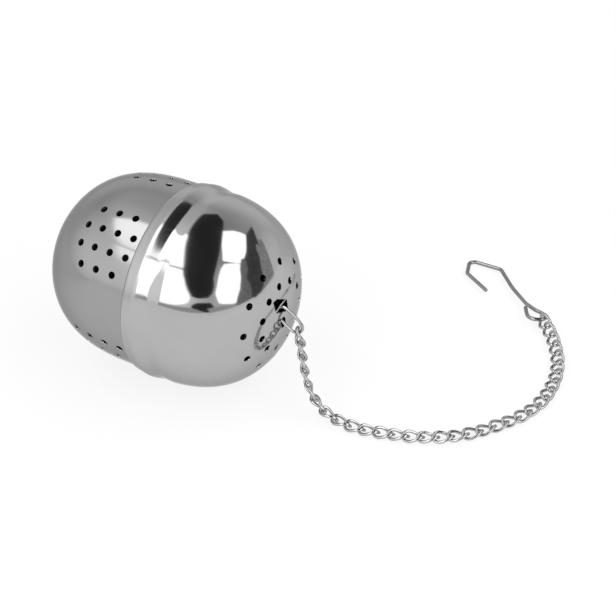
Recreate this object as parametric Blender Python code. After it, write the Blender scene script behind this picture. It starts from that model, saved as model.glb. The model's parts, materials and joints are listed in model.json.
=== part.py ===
"""A tea infuser lying on its side: two pressed steel shells, a curb chain and a wire hook.

Lengths are in millimetres and angles in degrees, and the objects are made in metres. The egg's axis
lies along +X with the lid towards +X, and the table is z = 0. The origin is on the table, under the
middle of the bead round the lid's mouth.
"""
import math

import bmesh
import bpy
from mathutils import Matrix, Vector

MM = 0.001

# Egg: each dome is a superellipse, measured along the axis from the seam between the shells
SHEET = 0.5
SIDES = 40
BASE_RADIUS = 20.08
BASE_LENGTH = 26.8
BASE_POWERS = (3.25, 1.87)
DOME_RADIUS = 20.82
DOME_LENGTH = 26.6
DOME_POWERS = (3.18, 1.955)
DOME_STEPS = 10
SEAM_GAP = 0.3
NECK_RADIUS = 19.5
NECK_LENGTH = 4.6

# Bead round the lid's mouth, with a shallow valley beside it: (distance from the seam, radius)
BEAD_RADIUS = 21.0
BEAD_CREST = (2.6, 3.0)
DOME_FROM = 8.6
VALLEY = ((7.6, 20.51), (6.9, 20.49), (6.2, 20.49), (5.7, 20.53), (5.2, 20.62), (3.5, 20.955))
RIM = ((1.6, 20.83), (0.4, 20.62), (0.0, 20.25))
RIM_INNER_RADIUS = 19.82

SEAM_X = -sum(BEAD_CREST) / 2
AXIS_Z = BEAD_RADIUS * math.cos(math.pi / SIDES)

# Holes of the base: groups of four rows along the axis, with angles counted from the top towards +Y.
# A group is its middle angle and which of its rows are long
HOLE_RADIUS = 0.72
HOLE_SIDES = 8
CUT_DEPTH = 4.0
ROW_ANGLES = (-18, -6, 6, 18)
LONG_ROW = (1.65, 5.5, 9.35, 13.2)
SHORT_ROW = (3.5, 7.5, 11.5)
GROUPS = ((-42, (1, 2)), (29.5, (1, 2)), (97, (1, 2)), (165, (1, 2)), (-127.5, (1, 3)))

# Holes of the lid: rings round the tip, each with its radius and the angle of its first hole
RING_HOLES = 11
LID_RINGS = ((7.35, -3.0), (11.4, 14.0))

# Tip of the lid: openings beside the bridge that holds the jump ring, in the tip's own two directions
TIP_TURN = 14.4
BRIDGE_OFFSET = (-0.3, 0.9)
OPENING_OVER = ((2.2, 2.3), (0.2, 2.55), (-1.9, 2.3), (-1.5, 1.95), (0.0, 0.95), (0.65, 0.3), (1.75, 0.3))
OPENING_FAR = ((2.0, 2.65), (1.1, 3.5), (-0.3, 4.9), (-1.6, 5.1), (-2.0, 2.65), (0.2, 2.9))
OPENING_UNDER = ((-0.35, -0.2), (-0.85, -0.2), (-1.45, -0.8), (-1.45, -2.55), (-1.05, -2.95),
                 (-0.7, -2.95), (0.12, -2.15), (0.12, -0.75))

# Jump ring: an oval of wire round the bridge, hanging outwards and down
RING_WIRE = 0.33
RING_HALF = (3.5, 1.32)
RING_POWER = 2.8
RING_BACK = 1.7
RING_ALONG = (0.64, 0.2, -0.74)
RING_TURN = 76
RING_SIDEWAYS = 0.2
RING_HOLD = (0.6, -0.2)
RING_STEPS = 20

# Curb chain: ovals of wire, each with a quarter twist along its length
LINK_COUNT = 32
PITCH = 3.07
LINK_WIRE = 0.33
LINK_HALF = (2.11, 1.25)
LINK_POWER = 2.3
LINK_TWIST = -45
LINK_STEPS = 16
WIRE_SIDES = 6
HOLD = LINK_HALF[0] - PITCH / 2
HANG = (0.25, -0.08, -0.96)

# Roll of the links about their length: up on edge at the ring and towards the hook, and by turns between
HEAD_ROLL = -75
HEAD_LINKS = 8
TAIL_ROLL = -43
TAIL_FROM = 23
TAIL_LINKS = 8
TURN_ROLL = 4
TURN_FROM = 9
LOOK_AHEAD = 6

# Route of the chain, by its joints: down from the ring, over the table, and up on edge to the hook
ROUTE_DOWN = ((28.0, -0.25, 12.3), (28.9, -0.85, 9.4), (29.9, -1.25, 6.7),
              (31.5, -1.7, 4.2), (33.7, -2.1, 2.42), (36.5, -2.4, 1.42))
ROUTE_FLAT = ((41.9, -2.3), (48.4, -0.6), (54.1, 1.6), (59.3, 4.8), (63.5, 8.9))
ROUTE_EDGE = ((66.7, 13.8, 0.95), (69.2, 18.2, 0.95), (70.8, 24.6, 0.95), (70.3, 31.9, 0.98),
              (68.4, 38.0, 1.05), (66.3, 41.6, 1.2), (63.5, 45.5, 1.45), (60.5, 48.5, 1.6),
              (58.6, 50.5, 1.62), (56.5, 52.6, 1.62))
FLAT_HEIGHT = 0.95
CURVE_STEPS = 40

# Hook: a bent wire from its eye along the shank, then back over a cup's rim, in the hook's own plane
HOOK_WIRE = 0.42
HOOK_TURN = 138.9
HOOK_TILT = 2.3
HOOK_EYE = ((5.5, 1.76), (4.75, 2.0), (3.75, 2.3), (2.3, 2.62), (1.2, 2.25), (0.4, 1.4), (0.0, 0.0),
            (0.7, -1.15), (2.45, -0.6), (3.6, 0.05), (4.6, 0.4), (5.6, 0.72), (6.9, 1.1))
HOOK_BENDS = ((13.5, 1.5, 20.0), (21.3, 1.0, 1.6), (26.1, 5.3, 0.8), (26.3, 6.7, 0.8), (22.45, 8.8, 1.0))
HOOK_TIP = (14.55, 7.4)
BEND_STEPS = 5
EYE_STEPS = 4

STEEL = (0.47, 0.47, 0.48, 1.0)
SHELL_ROUGHNESS = 0.06
WIRE_ROUGHNESS = 0.16
SMOOTH_ANGLE = 35


def clear_scene():
    for thing in list(bpy.data.objects):
        bpy.data.objects.remove(thing, do_unlink=True)


def steel(name, roughness):
    material = bpy.data.materials.new(name)
    material.use_nodes = True
    shader = material.node_tree.nodes["Principled BSDF"]
    shader.inputs["Base Color"].default_value = STEEL
    shader.inputs["Metallic"].default_value = 1.0
    shader.inputs["Roughness"].default_value = roughness
    return material


def mesh_from(bm, name):
    bmesh.ops.recalc_face_normals(bm, faces=bm.faces[:])
    bmesh.ops.scale(bm, vec=(MM, MM, MM), verts=bm.verts[:])
    mesh = bpy.data.meshes.new(name)
    bm.to_mesh(mesh)
    bm.free()
    mesh.shade_smooth()
    mesh.set_sharp_from_angle(angle=math.radians(SMOOTH_ANGLE))
    return mesh


def place(name, data, matrix, roughness):
    """Make an object whose matrix is in millimetres, with a steel of its own."""
    thing = bpy.data.objects.new(name, data)
    bpy.context.collection.objects.link(thing)
    matrix = matrix.copy()
    matrix.translation = matrix.translation * MM
    thing.matrix_world = matrix
    if not data.materials:
        data.materials.append(None)
    thing.material_slots[0].link = "OBJECT"
    thing.material_slots[0].material = steel(name, roughness)
    return thing


def cut(thing, bm, name):
    """Cut the closed shapes of a bmesh out of an object that has the same frame."""
    cutter = bpy.data.objects.new(name, mesh_from(bm, name))
    bpy.context.collection.objects.link(cutter)
    cutter.matrix_world = thing.matrix_world
    cutter.hide_render = True
    cutter.display_type = "WIRE"
    modifier = thing.modifiers.new(name, "BOOLEAN")
    modifier.operation = "DIFFERENCE"
    modifier.solver = "EXACT"
    modifier.object = cutter


def frame(along, across, place_at):
    """A matrix with x along the first direction and y in the plane of both."""
    x = along.normalized()
    z = x.cross(across).normalized()
    y = z.cross(x)
    matrix = Matrix((x, y, z)).transposed().to_4x4()
    matrix.translation = place_at
    return matrix


def smooth_curve(points, steps):
    """Points along a smooth curve through the given points."""
    ends = [2 * points[0] - points[1]] + list(points) + [2 * points[-1] - points[-2]]
    curve = []
    for before, start, end, after in zip(ends, ends[1:], ends[2:], ends[3:]):
        for step in range(steps):
            t = step / steps
            second = 2 * before - 5 * start + 4 * end - after
            third = 3 * start - before - 3 * end + after
            curve.append(start + 0.5 * t * (end - before + t * (second + t * third)))
    curve.append(points[-1])
    return curve


def rounded_corner(before, corner, after, radius):
    """Points on the arc that rounds a corner of a path."""
    to_before = (before - corner).normalized()
    to_after = (after - corner).normalized()
    half = to_before.angle(to_after) / 2
    centre = corner + (to_before + to_after).normalized() * radius / math.sin(half)
    start = corner + to_before * radius / math.tan(half) - centre
    end = corner + to_after * radius / math.tan(half) - centre
    turn = start.angle_signed(end)
    arc = []
    for step in range(BEND_STEPS + 1):
        arc.append(centre + Matrix.Rotation(-turn * step / BEND_STEPS, 2) @ start)
    return arc


def dome_radius(along, length, radius, powers):
    return radius * max(0.0, 1 - (along / length) ** powers[0]) ** (1 / powers[1])


def dome_outline(start, length, radius, powers):
    """Points (distance from the seam, radius) of a dome from its tip down to a start distance."""
    first = math.asin((start / length) ** (powers[0] / 2))
    outline = []
    for step in range(DOME_STEPS + 1):
        angle = math.pi / 2 + (first - math.pi / 2) * step / DOME_STEPS
        along = length * math.sin(angle) ** (2 / powers[0])
        outline.append((along, radius * max(0.0, math.cos(angle)) ** (2 / powers[1])))
    outline[0] = (length, 0.0)
    return outline


def inside(outline):
    """The same outline one sheet thickness further in."""
    inner = [(outline[0][0] - SHEET, 0.0)]
    for before, point, after in zip(outline, outline[1:], outline[2:] + outline[-1:]):
        along = Vector((after[0] - before[0], after[1] - before[1])).normalized()
        inner.append((point[0] + along.y * -SHEET, point[1] + along.x * SHEET))
    return inner


def turned(profile, name):
    """Turn a closed profile of (along the axis, radius) into a shell with a flat side at the bottom."""
    bm = bmesh.new()
    half_side = math.pi / SIDES
    corners = []
    for along, radius in profile:
        corners.append(bm.verts.new((along, radius * math.sin(half_side), -radius * math.cos(half_side))))
    edges = [bm.edges.new(pair) for pair in zip(corners, corners[1:])]
    bmesh.ops.spin(bm, geom=corners + edges, cent=(0, 0, 0), axis=(1, 0, 0), angle=2 * math.pi,
                   steps=SIDES, use_merge=True)
    bmesh.ops.remove_doubles(bm, verts=bm.verts[:], dist=0.001)
    return mesh_from(bm, name)


def hole(bm, point, direction, radius):
    matrix = Vector((0, 0, 1)).rotation_difference(direction).to_matrix().to_4x4()
    matrix.translation = point
    bmesh.ops.create_cone(bm, cap_ends=True, segments=HOLE_SIDES, radius1=radius, radius2=radius,
                          depth=CUT_DEPTH, matrix=matrix)


def dome_hole(bm, along, angle, side, length, radius, powers):
    """A round hole square to a dome; side is 1 for the lid and -1 for the base."""
    step = 0.05
    before = dome_radius(along - step, length, radius, powers)
    after = dome_radius(along + step, length, radius, powers)
    slope = (after - before) / (2 * step)
    outward = Vector((0, math.sin(math.radians(angle)), math.cos(math.radians(angle))))
    middle = outward * dome_radius(along, length, radius, powers) + Vector((side * along, 0, 0))
    hole(bm, middle, outward - Vector((side * slope, 0, 0)), HOLE_RADIUS)


def egg_frame():
    return Matrix.Translation((SEAM_X, 0, AXIS_Z))


def make_base():
    """The plain half: a dome with a neck that goes into the lid, and groups of holes."""
    outer = dome_outline(SEAM_GAP, BASE_LENGTH, BASE_RADIUS, BASE_POWERS)
    shoulder = SEAM_GAP + SHEET
    inner = inside(dome_outline(shoulder, BASE_LENGTH, BASE_RADIUS, BASE_POWERS))
    neck = [(SEAM_GAP, NECK_RADIUS), (-NECK_LENGTH, NECK_RADIUS), (-NECK_LENGTH, NECK_RADIUS - SHEET),
            (shoulder, NECK_RADIUS - SHEET)]
    profile = [(-along, radius) for along, radius in outer + neck + inner[::-1]]
    base = place("base_shell", turned(profile, "base_shell"), egg_frame(), SHELL_ROUGHNESS)
    holes = bmesh.new()
    for centre, long_rows in GROUPS:
        for row, angle in enumerate(ROW_ANGLES):
            for along in LONG_ROW if row in long_rows else SHORT_ROW:
                dome_hole(holes, along, centre + angle, -1, BASE_LENGTH, BASE_RADIUS, BASE_POWERS)
    cut(base, holes, "base_holes")


def tip_point(sideways, upwards, along):
    """A point at the lid's tip, in the two directions of the bridge."""
    turn = math.radians(TIP_TURN)
    beside = Vector((0, math.cos(turn), math.sin(turn))) * (sideways + BRIDGE_OFFSET[0])
    over = Vector((0, -math.sin(turn), math.cos(turn))) * (upwards + BRIDGE_OFFSET[1])
    return beside + over + Vector((along, 0, 0))


def make_lid():
    """The half with the bead: a dome with rings of holes and the openings at its tip."""
    dome = dome_outline(DOME_FROM, DOME_LENGTH, DOME_RADIUS, DOME_POWERS)
    crest = [(along, BEAD_RADIUS) for along in reversed(BEAD_CREST)]
    outer = dome + list(VALLEY) + crest + list(RIM)
    inner = inside(outer)
    inner[-2:] = [(RIM[-1][0], RIM_INNER_RADIUS)]
    lid = place("lid_shell", turned(outer + inner[::-1], "lid_shell"), egg_frame(), SHELL_ROUGHNESS)
    holes = bmesh.new()
    for ring_radius, first in LID_RINGS:
        along = DOME_LENGTH * (1 - (ring_radius / DOME_RADIUS) ** DOME_POWERS[1]) ** (1 / DOME_POWERS[0])
        for step in range(RING_HOLES):
            angle = first + 360 * step / RING_HOLES
            dome_hole(holes, along, angle, 1, DOME_LENGTH, DOME_RADIUS, DOME_POWERS)
    cut(lid, holes, "lid_holes")
    openings = bmesh.new()
    for outline in (OPENING_OVER, OPENING_FAR, OPENING_UNDER):
        low = [openings.verts.new(tip_point(a, b, DOME_LENGTH - CUT_DEPTH / 2)) for a, b in outline]
        face = openings.faces.new(low)
        grown = bmesh.ops.extrude_face_region(openings, geom=[face])["geom"]
        high = [corner for corner in grown if isinstance(corner, bmesh.types.BMVert)]
        bmesh.ops.translate(openings, vec=(CUT_DEPTH, 0, 0), verts=high)
    cut(lid, openings, "tip_openings")


def oval_points(half, power, steps, twist):
    """Points and face directions of an oval wire, twisted along its length by plus and minus the twist."""
    points = []
    for step in range(steps):
        angle = 2 * math.pi * step / steps
        cosine, sine = math.cos(angle), math.sin(angle)
        along = half[0] * math.copysign(abs(cosine) ** (2 / power), cosine)
        across = half[1] * math.copysign(abs(sine) ** (2 / power), sine)
        roll = math.radians(twist) * along / half[0]
        face = Vector((0, -math.sin(roll), math.cos(roll)))
        points.append((Vector((along, across * math.cos(roll), across * math.sin(roll))), face))
    return points


def wire_loop(points, wire, shift, name):
    """A closed ring of wire along the points, moved by the shift."""
    bm = bmesh.new()
    rings = []
    for index, (point, face) in enumerate(points):
        along = (points[(index + 1) % len(points)][0] - points[index - 1][0]).normalized()
        over = (face - along * face.dot(along)).normalized()
        beside = along.cross(over)
        ring = []
        for side in range(WIRE_SIDES):
            angle = 2 * math.pi * side / WIRE_SIDES
            outward = math.cos(angle) * over + math.sin(angle) * beside
            ring.append(bm.verts.new(point + shift + wire * outward))
        rings.append(ring)
    for index, ring in enumerate(rings):
        last = rings[index - 1]
        for side in range(WIRE_SIDES):
            bm.faces.new((last[side - 1], last[side], ring[side], ring[side - 1]))
    return mesh_from(bm, name)


def ring_frame():
    """The jump ring's frame: on the bridge, x along the ring and y across it."""
    turn = math.radians(RING_TURN)
    bridge = egg_frame() @ tip_point(RING_SIDEWAYS, 0, DOME_LENGTH - SHEET / 2)
    return frame(Vector(RING_ALONG), Vector((0, math.cos(turn), math.sin(turn))), bridge)


def make_jump_ring():
    points = oval_points(RING_HALF, RING_POWER, RING_STEPS, 0)
    mesh = wire_loop(points, RING_WIRE, Vector((RING_HALF[0] - RING_BACK, 0, 0)), "jump_ring")
    place("jump_ring", mesh, ring_frame(), WIRE_ROUGHNESS)


def first_joint():
    """Where the first link hangs in the jump ring: just inside the wire at its far end."""
    return ring_frame() @ Vector((2 * RING_HALF[0] - RING_BACK - RING_HOLD[0], RING_HOLD[1], 0))


def chain_joints():
    """The joints between the links, one pitch apart along the route."""
    start = first_joint()
    route = [start, start + Vector(HANG).normalized() * PITCH] + [Vector(p) for p in ROUTE_DOWN]
    route += [Vector((x, y, FLAT_HEIGHT)) for x, y in ROUTE_FLAT] + [Vector(p) for p in ROUTE_EDGE]
    joints = [start]
    curve = smooth_curve(route, CURVE_STEPS)
    for before, after in zip(curve, curve[1:]):
        if (after - joints[-1]).length >= PITCH and len(joints) <= LINK_COUNT:
            low, high = 0.0, 1.0
            for _ in range(CURVE_STEPS):
                middle = (low + high) / 2
                if (before.lerp(after, middle) - joints[-1]).length < PITCH:
                    low = middle
                else:
                    high = middle
            joints.append(before.lerp(after, high))
    return joints


def link_roll(index):
    """How far a link is turned about its length."""
    head = HEAD_ROLL * max(0.0, 1 - index / HEAD_LINKS)
    tail = TAIL_ROLL * min(1.0, max(0.0, (index - TAIL_FROM) / TAIL_LINKS))
    turns = TURN_ROLL * (-1) ** index if TURN_FROM <= index < TAIL_FROM else 0
    return head + tail + turns


def link_frames():
    """Each link's frame: on its first joint, x along the link and y across it."""
    joints = chain_joints()
    frames = []
    for index in range(LINK_COUNT):
        ahead = joints[min(index + LOOK_AHEAD, LINK_COUNT)] - joints[index]
        level = Vector((0, 0, 1)).cross(ahead)
        roll = Matrix.Rotation(math.radians(link_roll(index)), 4, "X")
        frames.append(frame(joints[index + 1] - joints[index], level, joints[index]) @ roll)
    return frames


def make_chain():
    points = oval_points(LINK_HALF, LINK_POWER, LINK_STEPS, LINK_TWIST)
    mesh = wire_loop(points, LINK_WIRE, Vector((PITCH / 2, 0, 0)), "link")
    for index, matrix in enumerate(link_frames()):
        place("link_%02d" % (index + 1), mesh, matrix, WIRE_ROUGHNESS)


def hook_frame():
    """The hook's frame: on the last joint, x along the shank."""
    turn = math.radians(HOOK_TURN)
    tilt = math.radians(HOOK_TILT)
    along = Vector((math.cos(turn) * math.cos(tilt), math.sin(turn) * math.cos(tilt), -math.sin(tilt)))
    return frame(along, Vector((0, 0, 1)).cross(along), chain_joints()[-1])


def hook_path():
    """The wire's middle line in the hook's plane: the eye, the shank and the bends."""
    path = smooth_curve([Vector(p) for p in HOOK_EYE], EYE_STEPS)
    corners = [path[-1]] + [Vector(bend[:2]) for bend in HOOK_BENDS] + [Vector(HOOK_TIP)]
    for bend, (before, corner, after) in zip(HOOK_BENDS, zip(corners, corners[1:], corners[2:])):
        path += rounded_corner(before, corner, after, bend[2])
    path.append(Vector(HOOK_TIP))
    return path


def make_hook():
    curve = bpy.data.curves.new("hook", "CURVE")
    curve.dimensions = "3D"
    curve.bevel_depth = HOOK_WIRE * MM
    curve.bevel_resolution = 2
    curve.use_fill_caps = True
    path = hook_path()
    spline = curve.splines.new("POLY")
    spline.points.add(len(path) - 1)
    for spot, point in zip(spline.points, path):
        spot.co = (MM * (point.x - HOLD), MM * point.y, 0, 1)
    spline.use_smooth = True
    place("hook", curve, hook_frame(), WIRE_ROUGHNESS)


def main():
    clear_scene()
    make_base()
    make_lid()
    make_jump_ring()
    make_chain()
    make_hook()


main()
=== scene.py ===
"""Looks of the tea infuser: fine steel shells, a curb chain and a wire hook in a white light tent.

Lengths are in millimetres and angles in degrees unless a name or a comment says otherwise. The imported
frame gives the joints that the chain is hung on. The egg's axis lies along +X, with the lid towards +X.
"""
import json
import math

import bmesh
import bpy
import numpy as np
from mathutils import Matrix, Vector


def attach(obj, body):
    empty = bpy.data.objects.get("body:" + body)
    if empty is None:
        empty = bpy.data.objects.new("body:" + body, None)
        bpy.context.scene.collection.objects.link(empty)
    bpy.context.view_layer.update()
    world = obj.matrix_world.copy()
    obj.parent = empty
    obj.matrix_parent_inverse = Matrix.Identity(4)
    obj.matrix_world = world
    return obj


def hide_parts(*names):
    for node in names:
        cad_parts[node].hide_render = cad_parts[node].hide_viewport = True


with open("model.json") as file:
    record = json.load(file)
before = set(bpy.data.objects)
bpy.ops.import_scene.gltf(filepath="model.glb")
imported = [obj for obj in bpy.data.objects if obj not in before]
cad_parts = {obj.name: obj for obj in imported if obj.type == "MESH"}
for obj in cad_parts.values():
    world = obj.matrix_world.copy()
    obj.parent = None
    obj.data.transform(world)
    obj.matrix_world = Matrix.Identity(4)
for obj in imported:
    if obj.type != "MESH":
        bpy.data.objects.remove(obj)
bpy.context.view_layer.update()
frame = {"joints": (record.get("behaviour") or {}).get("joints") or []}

MM = 0.001

# Egg: superellipse domes, measured along the axis from the seam between the shells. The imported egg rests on
# one of the flat sides of its bead
SHEET = 0.5
SEGMENTS = 144
BASE_RADIUS = 20.08
BASE_LENGTH = 26.8
BASE_POWERS = (3.25, 1.87)
DOME_RADIUS = 20.82
DOME_LENGTH = 26.6
DOME_POWERS = (3.18, 1.955)
DOME_STEPS = 54
SEAM_GAP = 0.08
NECK_RADIUS = 19.5
NECK_LENGTH = 4.6
BEAD_RADIUS = 21.0
BEAD_CREST = (2.6, 3.0)
DOME_FROM = 8.6
VALLEY = ((7.6, 20.51), (6.9, 20.49), (6.2, 20.49), (5.7, 20.53), (5.2, 20.62), (3.5, 20.955))
RIM = ((1.6, 20.83), (0.4, 20.62), (0.0, 20.25))
BEAD_STEPS = 5
RIM_INNER_RADIUS = 19.82
SEAM_X = -sum(BEAD_CREST) / 2
PACKED_SIDES = 40
AXIS_Z = BEAD_RADIUS * math.cos(math.pi / PACKED_SIDES)
WELD = 0.0005
SAME_FACING = 0.93
TINY = 1e-6

# Holes: groups of rows on the base, each by the angle of its middle and which of its rows are long, and rings
# round the lid's tip, each by its radius and the angle of its first hole
HOLE_RADIUS = 0.72
HOLE_FLARE = 0.08
HOLE_SIDES = 20
CUT_DEPTH = 2.0
SLOPE_STEP = 0.05
ROW_ANGLES = (-18, -6, 6, 18)
LONG_ROW = (1.65, 5.5, 9.35, 13.2)
SHORT_ROW = (3.5, 7.5, 11.5)
GROUPS = ((-42, (1, 2)), (29.5, (1, 2)), (97, (1, 2)), (165, (1, 2)), (-127.5, (1, 3)))
RING_HOLES = 11
LID_RINGS = ((7.35, -3.0), (11.4, 14.0))

# Tip of the lid: an opening on each side of the bridge that holds the jump ring, and a bar across one
TIP_TURN = 14.4
BRIDGE_OFFSET = (-0.3, 0.9)
OPENING_OVER = ((2.2, 2.3), (2.0, 2.65), (1.1, 3.5), (-0.3, 4.9), (-1.6, 5.1), (-2.0, 2.65), (-1.9, 2.3),
                (-1.5, 1.95), (0.0, 0.95), (0.65, 0.3), (1.75, 0.3))
OPENING_UNDER = ((-0.35, -0.2), (-0.85, -0.2), (-1.45, -0.8), (-1.45, -2.55), (-1.05, -2.95),
                 (-0.7, -2.95), (0.12, -2.15), (0.12, -0.75))
TIP_BAR = ((2.3, 2.46), (0.2, 2.72), (-2.15, 2.46))
BAR_RADIUS = 0.19
BAR_ROUNDNESS = 4

# Wires of the jump ring, the links and the hook, by their radius. An oval is given by half its length and
# half its width, and a bend of the hook by its place and radius
RING_WIRE = 0.33
RING_HALF = (3.5, 1.32)
RING_POWER = 2.8
RING_BACK = 1.7
RING_ALONG = (0.64, 0.2, -0.74)
LINK_WIRE = 0.33
LINK_HALF = (2.11, 1.25)
LINK_POWER = 2.3
LINK_TWIST = -45
PITCH = 3.07
HOLD = LINK_HALF[0] - PITCH / 2
LOOP_STEPS = 48
WIRE_SIDES = 12
HOOK_WIRE = 0.42
HOOK_ROUNDNESS = 5
HOOK_TURN = 138.9
HOOK_TILT = 2.3
HOOK_EYE = ((5.5, 1.76), (4.75, 2.0), (3.75, 2.3), (2.3, 2.62), (1.2, 2.25), (0.4, 1.4), (0.0, 0.0),
            (0.7, -1.15), (2.45, -0.6), (3.6, 0.05), (4.6, 0.4), (5.6, 0.72), (6.9, 1.1))
HOOK_BENDS = ((13.5, 1.5, 20.0), (21.3, 1.0, 1.6), (26.1, 5.3, 0.8), (26.3, 6.7, 0.8), (22.45, 8.8, 1.0))
HOOK_TIP = (14.55, 7.4)
BEND_STEPS = 10
EYE_STEPS = 8

# Steel of the shells: each half's tone, its roughness, and the share of its roughness that the bead adds.
# A noise is (scale, detail), with scales per metre, and a bump is (strength, depth in metres). The tones and
# roughnesses of marks and smears are shares of the steel's own
# The base's tone is lower than the lid's as painted shade: both halves are the same steel, and the base looks
# darker for what it reflects. The base is also rougher, as a real satin finish
BASE_SHADED_STEEL = (0.345, 0.11, 0.0)
LID_STEEL = (0.446, 0.08, 1.2)
EDGE_TINT = 0.6
BEAD_REACH = 7.0
LATHE_SCALE = 5200.0
ROUND_SCALE = 60.0
LATHE_NOISE = (1.0, 3.0)
LATHE_ROUGHNESS = (0.6, 1.2)
LATHE_BUMP = (0.1, 0.00001)
LATHE_STRETCH = 0.55
LATHE_TURN = 0.25
SMEAR_NOISE = (140.0, 2.0)
SMEAR_TONES = ((0.95, 0.95, 0.95), (1.05, 1.05, 1.07))
SMEAR_ROUGHNESS = 0.3
DENT_NOISE = (75.0, 1.0)
DENT_BUMP = (0.5, 0.00012)

# Inside of the shells: faces that look back at the seam's centre are rougher, and darker as painted shade so
# that the holes look dark
INSIDE_FACING = -0.2
INSIDE_PAINTED_SHADE = 0.35
INSIDE_ROUGHNESS = 0.5

# Steel of the wires: tone and roughness, with scratches and tarnish written as for the shells
WIRE_STEEL = (0.48, 0.08)
# The hook's tone is lower than the links' as painted shade: it is the same wire, darker for what it reflects
# as it lies flat on the floor. It is also rougher
HOOK_SHADED_STEEL = (0.31, 0.19)
WIRE_EDGE_TINT = 0.3
SCRATCH_SCALE = (400.0, 2600.0, 2600.0)
SCRATCH_NOISE = (1.0, 2.0)
SCRATCH_ROUGHNESS = (0.7, 1.3)
SCRATCH_BUMP = (0.3, 0.00002)
TARNISH_NOISE = (420.0, 2.0)
TARNISH_TONES = ((0.85, 0.85, 0.85), (1.1, 1.1, 1.11))

# Camera: place and clipping in metres, and a focal length for a frame 616 pixels square
CAMERA_PLACE = (0.19389, -0.27688, 0.264555)
CAMERA_FORWARD = (-0.4105, 0.6898, -0.5964)
FOCAL_PIXELS = 2000
FRAME_PIXELS = 616
SENSOR_WIDTH = 36.0
CAMERA_CLIP = (0.01, 50.0)

# Light tent, in metres: its cloth, and softboxes and cards as they are seen from the egg. Those in the roof
# have corners (x, y) one metre above the egg; those in the walls have (azimuth from -Y to +X, elevation).
# Each card has a level and its corners, and each glow of the cloth has (azimuth, elevation, spread, level).
# Soft edges have the width that they would have at one metre
TENT_RADIUS = 5.0
TENT_SIDES = 64
SOFTBOX_DISTANCE = 2.0
CARD_DISTANCE = 1.9
SOFT_EDGE = 0.05
SLOT_SOFT = 0.09
SIDE_SOFT = 0.1
CARD_MOTTLE = 0.02
SIDE_MOTTLE = 0.35
CLOTH_NOISE = (13.0, 3.0)
CLOTH_FOLDS = (0.3, 0.7)
MITRE_LIMIT = 0.5
TENT_LEVEL = 0.76
TENT_GLOWS = ((-30, 45, 65, 0.6), (0, 90, 85, -0.4), (145, 8, 25, 0.12), (-150, 0, 45, 0.22),
              (-125, 55, 28, 0.3))
STEEPEST = 89.9
SKY_LEVEL = 0.6
SOFTBOX_LEVEL = 2.5
WHITE = (1, 1, 1, 1)

# Floor, in metres: in the steel it fades from white, on the camera's side, to a lower level behind the egg,
# as a painted shadow of the egg
FLOOR_SIZE = 0.99 * TENT_RADIUS
FLOOR_DROP = 0.0001
FLOOR_TONE = 0.95
FLOOR_GLOW = 0.82
FAR_FLOOR_SHADOW = 0.8
FLOOR_AHEAD = (0.55, 0.45)
FLOOR_FADE = (-0.05, 0.005)

# Outlines of the softboxes and cards
ROOF_SOFTBOXES = {
    "softbox_left_roof": ((-0.77, -0.08), (-0.42, 0.03), (-0.29, -0.01), (-0.21, -0.17), (-0.15, -0.34),
                          (-0.12, -0.54), (-0.09, -0.69), (-0.43, -0.74), (-0.69, -0.65)),
    "softbox_right_roof": ((0.12, 0.42), (0.33, 0.14), (0.58, -0.08), (0.75, 0.02), (0.98, 0.19),
                           (1.12, 0.3), (1.08, 0.37), (0.91, 0.55), (0.69, 0.7), (0.5, 0.87),
                           (0.28, 0.66)),
}
WALL_SOFTBOXES = {
    "softbox_left_front": ((-15, 11.5), (-9, 12.5), (0, 15), (8, 18), (11, 20), (12, 24), (9.5, 28),
                           (4.5, 33), (2, 37.5), (-2, 45), (-5, 50), (-28, 45.5), (-45, 43), (-40, 38),
                           (-28, 28), (-19, 22), (-16, 16)),
    "softbox_right_front": ((55, 16), (61, 13.7), (72, 9.7), (77.5, 8.5), (80.5, 11.5), (85, 16), (88, 21),
                            (93, 27.5), (97.5, 35), (100, 39), (98, 43), (88, 49.5), (77, 54), (68, 51.5),
                            (60, 44), (55, 35), (51, 27), (53, 21)),
}
ROOF_CARDS = {
    "slot_card": (0.03, ((-0.36, 0.66), (-0.28, 0.2), (-0.19, -0.15), (-0.08, -0.55), (0.0, -0.9),
                         (0.17, -1.25), (0.42, -1.65), (0.6, -1.87), (0.9, -1.87), (1.27, -1.62),
                         (1.22, -1.3), (1.03, -1.0), (0.8, -0.77), (0.56, -0.57), (0.34, -0.27),
                         (0.2, 0.03), (0.1, 0.23), (-0.09, 0.7), (-0.27, 0.86))),
}
WALL_CARDS = {
    "apron": (1.0, ((-40, 4), (-20, 5), (0, 5.5), (15, 6), (30, 6), (45, 5.5), (60, 3.5), (75, 2), (90, 1),
                    (100, 0), (100, -3), (30, -3), (-40, -3))),
    "dark_block": (0.03, ((18, 6.5), (43, 6), (45, 13), (41, 17), (24, 18), (18, 15.5))),
    "skirting": (0.5, ((-20, 5), (0, 5.5), (15, 6), (30, 6), (45, 5.5), (60, 3.5), (75, 2), (75, 5),
                       (60, 9.5), (45, 11), (30, 10), (15, 12), (0, 10.5), (-20, 7))),
}
SIDE_CARDS = {
    "side_shade": (0.24, ((78, 2), (79, 6), (82, 11.5), (86.5, 16), (89.5, 21), (94.5, 27.5), (99, 35.5),
                          (108, 40.5), (112, 37.5), (107, 29), (98, 24), (98, 14), (96, 8), (94, 2))),
    "side_card": (0.08, ((94, 2), (96, 8), (98, 14), (98, 24), (107, 29), (112, 37.5), (126, 39),
                         (137, 41), (150, 41), (163, 33), (152, 34), (141, 31), (131, 29), (126, 21),
                         (120, 16), (119, 7), (112, 3), (108, 0))),
    "side_haze": (0.38, ((108, 0), (112, 3), (119, 7), (120, 16), (126, 21), (131, 29), (141, 31),
                         (147, 26), (139, 20), (133, 12), (129, 3), (122, -3), (113, -3))),
}


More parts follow.
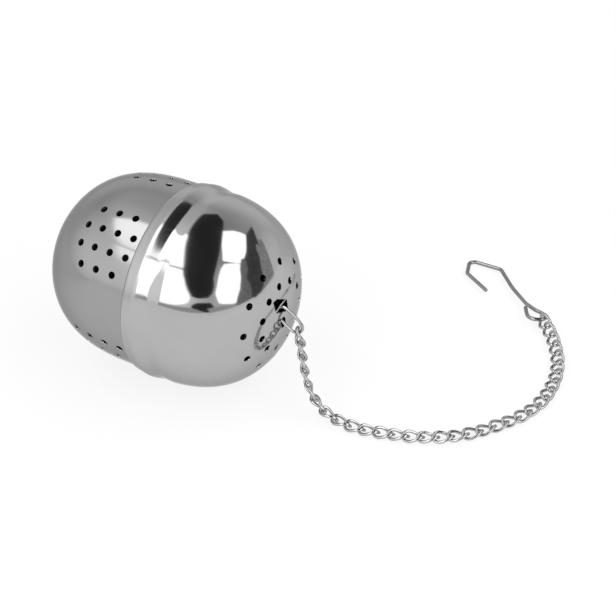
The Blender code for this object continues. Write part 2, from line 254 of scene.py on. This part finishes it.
def smooth_curve(points, steps):
    """Points along a smooth curve through the given points."""
    ends = [2 * points[0] - points[1]] + list(points) + [2 * points[-1] - points[-2]]
    curve = []
    for before, start, end, after in zip(ends, ends[1:], ends[2:], ends[3:]):
        for step in range(steps):
            t = step / steps
            second = 2 * before - 5 * start + 4 * end - after
            third = 3 * start - before - 3 * end + after
            curve.append(start + 0.5 * t * (end - before + t * (second + t * third)))
    curve.append(points[-1])
    return curve


def rounded_corner(before, corner, after, radius):
    """Points on the arc that rounds a corner of a path."""
    to_before = (before - corner).normalized()
    to_after = (after - corner).normalized()
    half = to_before.angle(to_after) / 2
    centre = corner + (to_before + to_after).normalized() * radius / math.sin(half)
    start = corner + to_before * radius / math.tan(half) - centre
    end = corner + to_after * radius / math.tan(half) - centre
    turn = start.angle_signed(end)
    arc = []
    for step in range(BEND_STEPS + 1):
        arc.append(centre + Matrix.Rotation(-turn * step / BEND_STEPS, 2) @ start)
    return arc


def mesh_from(bm, name):
    bmesh.ops.recalc_face_normals(bm, faces=bm.faces[:])
    bmesh.ops.scale(bm, vec=(MM, MM, MM), verts=bm.verts[:])
    mesh = bpy.data.meshes.new(name)
    bm.to_mesh(mesh)
    bm.free()
    mesh.shade_smooth()
    return mesh


def place(name, data, matrix):
    """Make an object whose matrix is in millimetres."""
    thing = bpy.data.objects.new(name, data)
    bpy.context.scene.collection.objects.link(thing)
    matrix = matrix.copy()
    matrix.translation = matrix.translation * MM
    thing.matrix_world = matrix
    return thing


def dome_radius(along, length, radius, powers):
    return radius * max(0.0, 1 - (along / length) ** powers[0]) ** (1 / powers[1])


def dome_outline(start, length, radius, powers):
    """Points (distance from the seam, radius) of a dome from its tip down to a start distance."""
    first = math.asin((start / length) ** (powers[0] / 2))
    outline = []
    for step in range(DOME_STEPS + 1):
        angle = math.pi / 2 + (first - math.pi / 2) * step / DOME_STEPS
        along = length * math.sin(angle) ** (2 / powers[0])
        outline.append((along, radius * max(0.0, math.cos(angle)) ** (2 / powers[1])))
    outline[0] = (length, 0.0)
    return outline


def outline_normals(outline):
    """Outward normals (along, outwards) at the points of an outline from the tip to the mouth."""
    points = np.array(outline)
    ahead = np.vstack([points[1:], points[-1:]]) - np.vstack([points[:1], points[:-1]])
    ahead[0] = (0.0, 1.0)
    normals = np.stack([ahead[:, 1], -ahead[:, 0]], 1)
    return normals / np.linalg.norm(normals, axis=1)[:, None]


def inside(outline):
    """The same outline one sheet thickness further in."""
    normals = outline_normals(outline)
    return [(a - SHEET * n[0], max(0.0, r - SHEET * n[1])) for (a, r), n in zip(outline, normals)]


def turned(profile, name):
    """Turn a profile of (along the axis, radius), which starts and ends on the axis, about it."""
    bm = bmesh.new()
    corners = [bm.verts.new((along, 0, radius)) for along, radius in profile]
    edges = [bm.edges.new(pair) for pair in zip(corners, corners[1:])]
    bmesh.ops.spin(bm, geom=corners + edges, cent=(0, 0, 0), axis=(1, 0, 0), angle=2 * math.pi,
                   steps=SEGMENTS, use_merge=True)
    bmesh.ops.remove_doubles(bm, verts=bm.verts[:], dist=WELD)
    return mesh_from(bm, name)


def hole(bm, point, direction):
    """A punched hole: a cylinder that flares where it comes out at the surface."""
    matrix = Vector((0, 0, 1)).rotation_difference(direction).to_matrix().to_4x4()
    matrix.translation = point
    rings = []
    wide = HOLE_RADIUS + HOLE_FLARE
    for height, radius in ((-CUT_DEPTH, HOLE_RADIUS), (-HOLE_FLARE * 2, HOLE_RADIUS), (HOLE_FLARE, wide),
                           (CUT_DEPTH, wide)):
        ring = []
        for side in range(HOLE_SIDES):
            angle = 2 * math.pi * side / HOLE_SIDES
            corner = Vector((radius * math.cos(angle), radius * math.sin(angle), height))
            ring.append(bm.verts.new(matrix @ corner))
        rings.append(ring)
    bm.faces.new(rings[0])
    bm.faces.new(rings[-1])
    for low, high in zip(rings, rings[1:]):
        for side in range(HOLE_SIDES):
            bm.faces.new((low[side - 1], low[side], high[side], high[side - 1]))


def dome_hole(bm, along, angle, side, length, radius, powers):
    """A hole square to a dome; side is 1 for the lid and -1 for the base."""
    before = dome_radius(along - SLOPE_STEP, length, radius, powers)
    after = dome_radius(along + SLOPE_STEP, length, radius, powers)
    slope = (after - before) / (2 * SLOPE_STEP)
    outward = Vector((0, math.sin(math.radians(angle)), math.cos(math.radians(angle))))
    middle = outward * dome_radius(along, length, radius, powers) + Vector((side * along, 0, 0))
    hole(bm, middle, outward - Vector((side * slope, 0, 0)))


def cut(mesh, cutters):
    """The mesh with closed shapes cut out of it."""
    thing = bpy.data.objects.new("blank", mesh)
    bpy.context.scene.collection.objects.link(thing)
    tools = []
    for bm in cutters:
        tool = bpy.data.objects.new("cutter", mesh_from(bm, "cutter"))
        bpy.context.scene.collection.objects.link(tool)
        modifier = thing.modifiers.new("cut", "BOOLEAN")
        modifier.operation = "DIFFERENCE"
        modifier.solver = "EXACT"
        modifier.object = tool
        tools.append(tool)
    depsgraph = bpy.context.evaluated_depsgraph_get()
    result = bpy.data.meshes.new_from_object(thing.evaluated_get(depsgraph))
    for extra in [thing] + tools:
        bpy.data.objects.remove(extra, do_unlink=True)
    return result


def shade_shell(mesh, outline, side, length):
    """Give the outer and inner faces the normals of the true curve, and the hole walls flat ones."""
    points = np.array(outline)
    normals = outline_normals(outline)
    turn = np.arctan2(points[:, 0] / length, points[:, 1] / points[:, 1].max())
    order = np.argsort(turn)
    count = len(mesh.vertices)
    spots = np.empty(count * 3)
    mesh.vertices.foreach_get("co", spots)
    spots = spots.reshape(-1, 3) / MM
    along = side * spots[:, 0]
    radius = np.hypot(spots[:, 1], spots[:, 2])
    where = np.arctan2(along / length, radius / points[:, 1].max())
    normal_along = np.interp(where, turn[order], normals[order, 0])
    normal_out = np.interp(where, turn[order], normals[order, 1])
    true = np.stack([side * normal_along, normal_out * spots[:, 1] / np.maximum(radius, TINY),
                     normal_out * spots[:, 2] / np.maximum(radius, TINY)], 1)
    true /= np.linalg.norm(true, axis=1)[:, None]
    shaded = []
    for face in mesh.polygons:
        middle = true[list(face.vertices)].mean(0)
        facing = float(np.dot(middle, face.normal))
        for corner in face.vertices:
            if facing > SAME_FACING:
                shaded.append(true[corner])
            elif facing < -SAME_FACING:
                shaded.append(-true[corner])
            else:
                shaded.append(np.array(face.normal))
    mesh.normals_split_custom_set(shaded)


def egg_frame():
    """Where the egg's axis meets the seam."""
    return Matrix.Translation((SEAM_X, 0, AXIS_Z))


def make_base():
    """The plain half: a dome with a neck that goes into the lid, and groups of holes."""
    shoulder = SEAM_GAP + SHEET
    outer = dome_outline(SEAM_GAP, BASE_LENGTH, BASE_RADIUS, BASE_POWERS)
    inner = inside(dome_outline(shoulder, BASE_LENGTH, BASE_RADIUS, BASE_POWERS))
    neck = [(SEAM_GAP, NECK_RADIUS), (-NECK_LENGTH, NECK_RADIUS), (-NECK_LENGTH, NECK_RADIUS - SHEET),
            (shoulder, NECK_RADIUS - SHEET)]
    profile = [(-along, radius) for along, radius in outer + neck + inner[::-1]]
    holes = bmesh.new()
    for centre, long_rows in GROUPS:
        for row, angle in enumerate(ROW_ANGLES):
            for along in LONG_ROW if row in long_rows else SHORT_ROW:
                dome_hole(holes, along, centre + angle, -1, BASE_LENGTH, BASE_RADIUS, BASE_POWERS)
    mesh = cut(turned(profile, "base"), [holes])
    shade_shell(mesh, outer, -1, BASE_LENGTH)
    return place("base", mesh, egg_frame())


def tip_point(sideways, upwards, along):
    """A point at the lid's tip, in the two directions of the bridge."""
    turn = math.radians(TIP_TURN)
    beside = Vector((0, math.cos(turn), math.sin(turn))) * (sideways + BRIDGE_OFFSET[0])
    over = Vector((0, -math.sin(turn), math.cos(turn))) * (upwards + BRIDGE_OFFSET[1])
    return beside + over + Vector((along, 0, 0))


def make_lid():
    """The half with the bead: a dome with rings of holes and the openings at its tip."""
    dome = dome_outline(DOME_FROM, DOME_LENGTH, DOME_RADIUS, DOME_POWERS)
    crest = [(along, BEAD_RADIUS) for along in reversed(BEAD_CREST)]
    bead = [Vector(p) for p in dome[-2:] + list(VALLEY) + crest + list(RIM)]
    curve = smooth_curve(bead, BEAD_STEPS)[BEAD_STEPS:]
    outer = dome[:-1] + [tuple(p) for p in curve]
    inner = [p for p in inside(outer) if p[0] > RIM[0][0]] + [(RIM[-1][0], RIM_INNER_RADIUS)]
    holes = bmesh.new()
    for ring_radius, first in LID_RINGS:
        along = DOME_LENGTH * (1 - (ring_radius / DOME_RADIUS) ** DOME_POWERS[1]) ** (1 / DOME_POWERS[0])
        for step in range(RING_HOLES):
            angle = first + 360 * step / RING_HOLES
            dome_hole(holes, along, angle, 1, DOME_LENGTH, DOME_RADIUS, DOME_POWERS)
    openings = bmesh.new()
    for outline in (OPENING_OVER, OPENING_UNDER):
        low = [openings.verts.new(tip_point(a, b, DOME_LENGTH - CUT_DEPTH)) for a, b in outline]
        face = openings.faces.new(low)
        extruded = bmesh.ops.extrude_face_region(openings, geom=[face])["geom"]
        high = [corner for corner in extruded if isinstance(corner, bmesh.types.BMVert)]
        bmesh.ops.translate(openings, vec=(2 * CUT_DEPTH, 0, 0), verts=high)
    mesh = cut(turned(outer + inner[::-1], "lid"), [holes, openings])
    shade_shell(mesh, outer, 1, DOME_LENGTH)
    return place("lid", mesh, egg_frame())


def round_wire(name, path, radius, roundness):
    """A round wire along a path."""
    curve = bpy.data.curves.new(name, "CURVE")
    curve.dimensions = "3D"
    curve.bevel_depth = radius * MM
    curve.bevel_resolution = roundness
    curve.use_fill_caps = True
    spline = curve.splines.new("POLY")
    spline.points.add(len(path) - 1)
    for spot, (x, y, z) in zip(spline.points, path):
        spot.co = (MM * x, MM * y, MM * z, 1)
    spline.use_smooth = True
    return curve


def make_tip_bar():
    """The thin bar across the upper opening at the lid's tip."""
    path = []
    for point in smooth_curve([tip_point(a, b, 0) for a, b in TIP_BAR], BEND_STEPS):
        reach = (point.length / DOME_RADIUS) ** DOME_POWERS[1]
        along = DOME_LENGTH * (1 - reach) ** (1 / DOME_POWERS[0]) - BAR_RADIUS
        path.append((along, point.y, point.z))
    return place("tip_bar", round_wire("tip_bar", path, BAR_RADIUS, BAR_ROUNDNESS), egg_frame())


def oval_points(half, power, steps, twist):
    """Points and face directions of an oval wire, twisted along its length by plus and minus the twist."""
    points = []
    for step in range(steps):
        angle = 2 * math.pi * step / steps
        cosine, sine = math.cos(angle), math.sin(angle)
        along = half[0] * math.copysign(abs(cosine) ** (2 / power), cosine)
        across = half[1] * math.copysign(abs(sine) ** (2 / power), sine)
        roll = math.radians(twist) * along / half[0]
        face = Vector((0, -math.sin(roll), math.cos(roll)))
        points.append((Vector((along, across * math.cos(roll), across * math.sin(roll))), face))
    return points


def wire_loop(points, wire, shift, name):
    """A closed ring of wire along the points, moved by the shift."""
    bm = bmesh.new()
    rings = []
    for index, (point, face) in enumerate(points):
        along = (points[(index + 1) % len(points)][0] - points[index - 1][0]).normalized()
        over = (face - along * face.dot(along)).normalized()
        beside = along.cross(over)
        ring = []
        for side in range(WIRE_SIDES):
            angle = 2 * math.pi * side / WIRE_SIDES
            outward = math.cos(angle) * over + math.sin(angle) * beside
            ring.append(bm.verts.new(point + shift + wire * outward))
        rings.append(ring)
    for index, ring in enumerate(rings):
        last = rings[index - 1]
        for side in range(WIRE_SIDES):
            bm.faces.new((last[side - 1], last[side], ring[side], ring[side - 1]))
    return mesh_from(bm, name)


def matrix_of(x, y, z, place_at):
    matrix = Matrix((x, y, z)).transposed().to_4x4()
    matrix.translation = place_at
    return matrix


def joint_place(joint):
    return Vector(joint["pos_m"]) / MM


def make_jump_ring(joint):
    along = Vector(RING_ALONG).normalized()
    face = Vector(joint["axis"]).normalized()
    points = oval_points(RING_HALF, RING_POWER, LOOP_STEPS, 0)
    mesh = wire_loop(points, RING_WIRE, Vector((RING_HALF[0] - RING_BACK, 0, 0)), "ring")
    return place("ring", mesh, matrix_of(along, face.cross(along), face, joint_place(joint)))


def make_chain(joints):
    """Links between their joints, which turn about the link's face and its width by turns."""
    points = oval_points(LINK_HALF, LINK_POWER, LOOP_STEPS, LINK_TWIST)
    mesh = wire_loop(points, LINK_WIRE, Vector((PITCH / 2, 0, 0)), "chain_link")
    links = []
    for index, (joint, following) in enumerate(zip(joints, joints[1:])):
        start = joint_place(joint)
        along = (joint_place(following) - start).normalized()
        axis = Vector(joint["axis"]).normalized()
        # The record turns the axes of every second pair of links round; this turns them back
        if index % 4 > 1:
            axis = -axis
        if index % 2 == 0:
            matrix = matrix_of(along, axis.cross(along), axis, start)
        else:
            matrix = matrix_of(along, axis, along.cross(axis), start)
        links.append(place("chain_" + joint["child"], mesh, matrix))
    return links


def make_hook(joint):
    """The bent wire: the eye, the shank and the bends over a cup's rim."""
    path = smooth_curve([Vector(p) for p in HOOK_EYE], EYE_STEPS)
    corners = [path[-1]] + [Vector(bend[:2]) for bend in HOOK_BENDS] + [Vector(HOOK_TIP)]
    for bend, (before, corner, after) in zip(HOOK_BENDS, zip(corners, corners[1:], corners[2:])):
        path += rounded_corner(before, corner, after, bend[2])
    path.append(Vector(HOOK_TIP))
    curve = round_wire("bent_hook", [(x - HOLD, y, 0) for x, y in path], HOOK_WIRE, HOOK_ROUNDNESS)
    turn = math.radians(HOOK_TURN)
    tilt = math.radians(HOOK_TILT)
    along = Vector((math.cos(turn) * math.cos(tilt), math.sin(turn) * math.cos(tilt), -math.sin(tilt)))
    face = Vector(joint["axis"]).normalized()
    return place("bent_hook", curve, matrix_of(along, face.cross(along), face, joint_place(joint)))


class Nodes:
    """A short way to build a node tree."""

    def __init__(self, tree):
        self.tree = tree
        tree.nodes.clear()

    def add(self, kind, settings=None, inputs=None):
        node = self.tree.nodes.new(kind)
        for name, value in (settings or {}).items():
            setattr(node, name, value)
        for name, value in (inputs or {}).items():
            socket = node.inputs[name]
            if isinstance(value, bpy.types.NodeSocket):
                self.tree.links.new(value, socket)
            else:
                socket.default_value = value
        return node

    def math(self, operation, first, second=0.0):
        return self.add("ShaderNodeMath", {"operation": operation}, {0: first, 1: second}).outputs[0]

    def ramp(self, value, low, high):
        """Map a value from 0..1 to a range."""
        return self.add("ShaderNodeMapRange", None, {0: value, 3: low, 4: high}).outputs[0]

    def soft_ramp(self, value, start, end, low, high):
        """Map a value from start..end to a range, with soft ends."""
        return self.add("ShaderNodeMapRange", {"interpolation_type": "SMOOTHSTEP"},
                        {0: value, 1: start, 2: end, 3: low, 4: high}).outputs[0]

    def spot(self):
        return self.add("ShaderNodeTexCoord").outputs["Object"]

    def axes(self, vector):
        return self.add("ShaderNodeSeparateXYZ", None, {0: vector}).outputs

    def unit(self, vector):
        return self.add("ShaderNodeVectorMath", {"operation": "NORMALIZE"}, {0: vector}).outputs[0]

    def dot(self, first, second):
        both = {0: first, 1: second}
        return self.add("ShaderNodeVectorMath", {"operation": "DOT_PRODUCT"}, both).outputs["Value"]

    def noise(self, vector, noise):
        scale, detail = noise
        inputs = {"Vector": vector, "Scale": scale, "Detail": detail}
        return self.add("ShaderNodeTexNoise", None, inputs).outputs[0]

    def bump(self, height, bump, normal=None):
        strength, depth = bump
        inputs = {"Strength": strength, "Distance": depth, "Height": height}
        if normal is not None:
            inputs["Normal"] = normal
        return self.add("ShaderNodeBump", None, inputs).outputs[0]

    def mixed_colour(self, share, first, second, blend="MIX"):
        settings = {"data_type": "RGBA", "blend_type": blend}
        return self.add("ShaderNodeMix", settings, {0: share, 6: first, 7: second}).outputs[2]

    def emission(self, level):
        return self.add("ShaderNodeEmission", None, {"Color": WHITE, "Strength": level}).outputs[0]

    def mixed_shader(self, share, first, second):
        return self.add("ShaderNodeMixShader", None, {0: share, 1: first, 2: second}).outputs[0]

    def surface(self, shader):
        self.add("ShaderNodeOutputMaterial", None, {0: shader})


def grey(level):
    return level, level, level, 1


def tinted(tone, shares):
    """A colour by the share of a tone in each channel."""
    return (*(tone * share for share in shares), 1)


def new_material(name):
    material = bpy.data.materials.new(name)
    material.use_nodes = True
    return material, Nodes(material.node_tree)


def polished_steel(name, tone, roughness, bead_dulling):
    """Sheet polished on a lathe: fine marks run round the axis, and the sheet is a little uneven."""
    material, nodes = new_material(name)
    spot = nodes.spot()
    axes = nodes.axes(spot)
    outwards = nodes.math("SQRT", nodes.math("ADD", nodes.math("MULTIPLY", axes[1], axes[1]),
                                             nodes.math("MULTIPLY", axes[2], axes[2])))
    lathe = nodes.math("SUBTRACT", nodes.math("ABSOLUTE", axes[0]), outwards)
    marks_at = nodes.add("ShaderNodeCombineXYZ", None, {
        0: nodes.math("MULTIPLY", lathe, LATHE_SCALE),
        1: nodes.math("MULTIPLY", axes[1], ROUND_SCALE),
        2: nodes.math("MULTIPLY", axes[2], ROUND_SCALE)}).outputs[0]
    marks = nodes.noise(marks_at, LATHE_NOISE)
    smears = nodes.noise(spot, SMEAR_NOISE)
    dents = nodes.noise(spot, DENT_NOISE)
    colour = nodes.mixed_colour(smears, *(tinted(tone, shares) for shares in SMEAR_TONES))
    rough = nodes.math("ADD", nodes.ramp(marks, *(roughness * share for share in LATHE_ROUGHNESS)),
                       nodes.ramp(smears, 0.0, roughness * SMEAR_ROUGHNESS))
    facing = nodes.dot(nodes.add("ShaderNodeTexCoord").outputs["Normal"], nodes.unit(spot))
    inside_face = nodes.math("LESS_THAN", facing, INSIDE_FACING)
    # Painted shade: the colour of the inside faces is darkened so that the inside of the egg looks dark
    # through the holes
    colour = nodes.mixed_colour(inside_face, colour, grey(INSIDE_PAINTED_SHADE), "MULTIPLY")
    rough = nodes.math("MAXIMUM", rough, nodes.math("MULTIPLY", inside_face, INSIDE_ROUGHNESS))
    rolled = nodes.soft_ramp(axes[0], BEAD_REACH * MM, 0.0, 0.0, roughness * bead_dulling)
    rough = nodes.math("ADD", rough, rolled)
    uneven = nodes.bump(dents, DENT_BUMP)
    tangent = nodes.add("ShaderNodeTangent", {"direction_type": "RADIAL", "axis": "X"}).outputs[0]
    shader = nodes.add("ShaderNodeBsdfPrincipled", None, {
        "Base Color": colour, "Metallic": 1.0, "Roughness": rough,
        "Normal": nodes.bump(marks, LATHE_BUMP, uneven), "Specular Tint": grey(EDGE_TINT),
        "Anisotropic": LATHE_STRETCH, "Anisotropic Rotation": LATHE_TURN, "Tangent": tangent})
    nodes.surface(shader.outputs[0])
    return material


def wire_steel(name, tone, roughness):
    """Drawn wire: fine scratches and a little tarnish."""
    material, nodes = new_material(name)
    spot = nodes.spot()
    stretched = nodes.add("ShaderNodeMapping", None, {"Vector": spot, "Scale": SCRATCH_SCALE}).outputs[0]
    scratches = nodes.noise(stretched, SCRATCH_NOISE)
    tarnish = nodes.noise(spot, TARNISH_NOISE)
    shader = nodes.add("ShaderNodeBsdfPrincipled", None, {
        "Base Color": nodes.mixed_colour(tarnish, *(tinted(tone, shares) for shares in TARNISH_TONES)),
        "Metallic": 1.0,
        "Roughness": nodes.ramp(scratches, *(roughness * share for share in SCRATCH_ROUGHNESS)),
        "Normal": nodes.bump(scratches, SCRATCH_BUMP), "Specular Tint": grey(WIRE_EDGE_TINT)})
    nodes.surface(shader.outputs[0])
    return material


def stage_mesh(name, corners, faces, material):
    """A thing of the studio that is seen in the steel alone and casts no shadow."""
    mesh = bpy.data.meshes.new(name)
    mesh.from_pydata(corners, [], faces)
    mesh.materials.append(material)
    thing = bpy.data.objects.new(name, mesh)
    bpy.context.scene.collection.objects.link(thing)
    thing.visible_camera = False
    thing.visible_shadow = False
    return thing


def grown(outline, amount):
    """A flat outline moved outwards by an amount."""
    area = sum(p.x * q.y - p.y * q.x for p, q in zip(outline, outline[1:] + outline[:1]))
    moved = []
    for before, point, after in zip(outline[-1:] + outline[:-1], outline, outline[1:] + outline[:1]):
        first, second = (point - before).normalized(), (after - point).normalized()
        normal = Vector((first.y, -first.x))
        slant = (normal + Vector((second.y, -second.x))).normalized()
        moved.append(point + slant * math.copysign(amount, area) / max(MITRE_LIMIT, slant.dot(normal)))
    return moved


def soft_glow(name, level, mottle):
    """An uneven glow that fades out at the soft edge of its card."""
    material, nodes = new_material(name)
    solid = nodes.add("ShaderNodeAttribute", {"attribute_name": "solid"}).outputs["Fac"]
    clear = nodes.add("ShaderNodeBsdfTransparent").outputs[0]
    folds = nodes.noise(nodes.spot(), CLOTH_NOISE)
    uneven = nodes.add("ShaderNodeMapRange", None, {
        0: folds, 1: CLOTH_FOLDS[0], 2: CLOTH_FOLDS[1], 3: level * (1 - mottle),
        4: level * (1 + mottle)}).outputs[0]
    share = nodes.soft_ramp(solid, 0.0, 1.0, 0.0, 1.0)
    nodes.surface(nodes.mixed_shader(share, clear, nodes.emission(uneven)))
    return material


def card(name, directions, level, distance, soft=SOFT_EDGE, mottle=CARD_MOTTLE):
    """A glowing or dark card with a soft edge, by the directions of its corners from the egg."""
    egg = Vector((0, 0, AXIS_Z * MM))
    middle = sum((d.normalized() for d in directions), Vector()).normalized()
    across = middle.orthogonal().normalized()
    over = middle.cross(across)
    flat = [Vector((d.dot(across), d.dot(over))) / d.dot(middle) for d in directions]
    corners = []
    for amount in (-soft / 2, soft / 2):
        for point in grown(flat, amount):
            corners.append(egg + (middle + across * point.x + over * point.y).normalized() * distance)
    count = len(flat)
    faces = [tuple(range(count))]
    for side in range(count):
        following = (side + 1) % count
        faces.append((side, following, count + following, count + side))
    thing = stage_mesh(name, corners, faces, soft_glow(name, level, mottle))
    solid = thing.data.attributes.new("solid", "FLOAT", "POINT")
    for index, value in enumerate(solid.data):
        value.value = 1.0 if index < count else 0.0
    return thing


def roof_direction(x, y):
    return Vector((x, y, 1))


def wall_direction(azimuth, elevation):
    azimuth, elevation = math.radians(azimuth), math.radians(elevation)
    return Vector((math.sin(azimuth), -math.cos(azimuth), math.tan(elevation)))


def tent_cloth():
    """Cloth that is brighter and darker towards some sides."""
    material, nodes = new_material("tent_cloth")
    outward = nodes.unit(nodes.spot())
    level = TENT_LEVEL
    for azimuth, elevation, spread, amount in TENT_GLOWS:
        near = nodes.dot(outward, wall_direction(azimuth, min(elevation, STEEPEST)).normalized())
        part = nodes.soft_ramp(near, math.cos(math.radians(spread)), 1.0, 0.0, amount)
        level = nodes.math("ADD", part, level)
    nodes.surface(nodes.emission(level))
    return material


def make_tent():
    """The tent's cloth, softboxes and cards. Of these, only the softboxes also light the floor."""
    bm = bmesh.new()
    bmesh.ops.create_uvsphere(bm, u_segments=TENT_SIDES, v_segments=TENT_SIDES // 2, radius=TENT_RADIUS)
    mesh = bpy.data.meshes.new("tent")
    bm.to_mesh(mesh)
    bm.free()
    tent = stage_mesh("tent_cloth", [v.co[:] for v in mesh.vertices],
                      [tuple(p.vertices) for p in mesh.polygons], tent_cloth())
    tent.visible_diffuse = False
    bpy.data.meshes.remove(mesh)
    for softboxes, direction in ((ROOF_SOFTBOXES, roof_direction), (WALL_SOFTBOXES, wall_direction)):
        for name, outline in softboxes.items():
            card(name, [direction(*corner) for corner in outline], SOFTBOX_LEVEL, SOFTBOX_DISTANCE)
    for cards, direction, soft, mottle in ((ROOF_CARDS, roof_direction, SLOT_SOFT, CARD_MOTTLE),
                                           (WALL_CARDS, wall_direction, SOFT_EDGE, CARD_MOTTLE),
                                           (SIDE_CARDS, wall_direction, SIDE_SOFT, SIDE_MOTTLE)):
        for name, (level, outline) in cards.items():
            corners = [direction(*corner) for corner in outline]
            card(name, corners, level, CARD_DISTANCE, soft, mottle).visible_diffuse = False


def seen_ray(nodes):
    """1 for what the camera sees, by itself or in the steel, and 0 for the light that falls on things."""
    path = nodes.add("ShaderNodeLightPath").outputs
    return nodes.math("MAXIMUM", path["Is Camera Ray"],
                      nodes.math("MAXIMUM", path["Is Glossy Ray"], path["Is Transmission Ray"]))


def make_floor():
    """A white floor with a soft shadow: part of what is seen of it is plain white, and in the steel a painted
    shadow darkens it behind the egg.
    """
    turns = [2 * math.pi * side / TENT_SIDES for side in range(TENT_SIDES)]
    corners = [(FLOOR_SIZE * math.cos(t), FLOOR_SIZE * math.sin(t), -FLOOR_DROP) for t in turns]
    material, nodes = new_material("floor")
    shaded = nodes.add("ShaderNodeBsdfDiffuse", None, {"Color": grey(FLOOR_TONE)}).outputs[0]
    axes = nodes.axes(nodes.spot())
    ahead = nodes.math("SUBTRACT", nodes.math("MULTIPLY", axes[0], FLOOR_AHEAD[0]),
                       nodes.math("MULTIPLY", axes[1], FLOOR_AHEAD[1]))
    # Painted shadow: what the steel sees of the floor is darker behind the egg
    shadowed_in_steel = nodes.soft_ramp(ahead, *FLOOR_FADE, FAR_FLOOR_SHADOW, 1.0)
    level = nodes.math("MAXIMUM", shadowed_in_steel, nodes.add("ShaderNodeLightPath").outputs["Is Camera Ray"])
    share = nodes.math("MULTIPLY", seen_ray(nodes), FLOOR_GLOW)
    nodes.surface(nodes.mixed_shader(share, shaded, nodes.emission(level)))
    floor = stage_mesh("floor", corners, [tuple(range(TENT_SIDES))], material)
    floor.visible_camera = True
    floor.visible_shadow = True


def make_world():
    """White to the camera and in the steel, and lower as the light that falls from all sides."""
    world = bpy.data.worlds.new("world")
    world.use_nodes = True
    nodes = Nodes(world.node_tree)
    level = nodes.ramp(seen_ray(nodes), SKY_LEVEL, 1.0)
    background = nodes.add("ShaderNodeBackground", None, {"Color": WHITE, "Strength": level})
    nodes.add("ShaderNodeOutputWorld", None, {0: background.outputs[0]})
    bpy.context.scene.world = world


def make_camera():
    data = bpy.data.cameras.new("camera")
    data.sensor_width = SENSOR_WIDTH
    data.lens = FOCAL_PIXELS * SENSOR_WIDTH / FRAME_PIXELS
    data.clip_start, data.clip_end = CAMERA_CLIP
    camera = bpy.data.objects.new("camera", data)
    bpy.context.scene.collection.objects.link(camera)
    camera.location = CAMERA_PLACE
    camera.rotation_mode = "QUATERNION"
    camera.rotation_quaternion = Vector(CAMERA_FORWARD).to_track_quat("-Z", "Y")
    bpy.context.scene.camera = camera


def dress(piece, material, body, node):
    """Give a piece its material, and put it on its body, in place of a node if it has one."""
    piece.data.materials.clear()
    piece.data.materials.append(material)
    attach(piece, body)
    if node:
        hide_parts(node)


def main():
    bpy.context.scene.view_settings.view_transform = "Standard"
    make_camera()
    make_world()
    make_floor()
    make_tent()
    joints = {joint["child"]: joint for joint in frame["joints"]}
    chain = [joint for joint in frame["joints"] if joint["child"].startswith(("link_", "hook"))]
    # The base's material is the same steel, rougher, in a tone darkened as painted shade
    shaded_satin = polished_steel("painted_shade_satin_steel", *BASE_SHADED_STEEL)
    steel = polished_steel("polished_steel", *LID_STEEL)
    wire = wire_steel("wire_steel", *WIRE_STEEL)
    # A darker copy of the wire steel for the hook, as painted shade
    shaded_dull_wire = wire_steel("shaded_dull_wire", *HOOK_SHADED_STEEL)
    dress(make_base(), shaded_satin, "base", "base_shell")
    dress(make_lid(), steel, "lid", "lid_shell")
    dress(make_tip_bar(), steel, "lid", None)
    dress(make_jump_ring(joints["jump_ring"]), wire, "jump_ring", "jump_ring")
    for joint, link in zip(chain, make_chain(chain)):
        dress(link, wire, joint["child"], joint["child"])
    dress(make_hook(chain[-1]), shaded_dull_wire, "hook", "hook")


main()
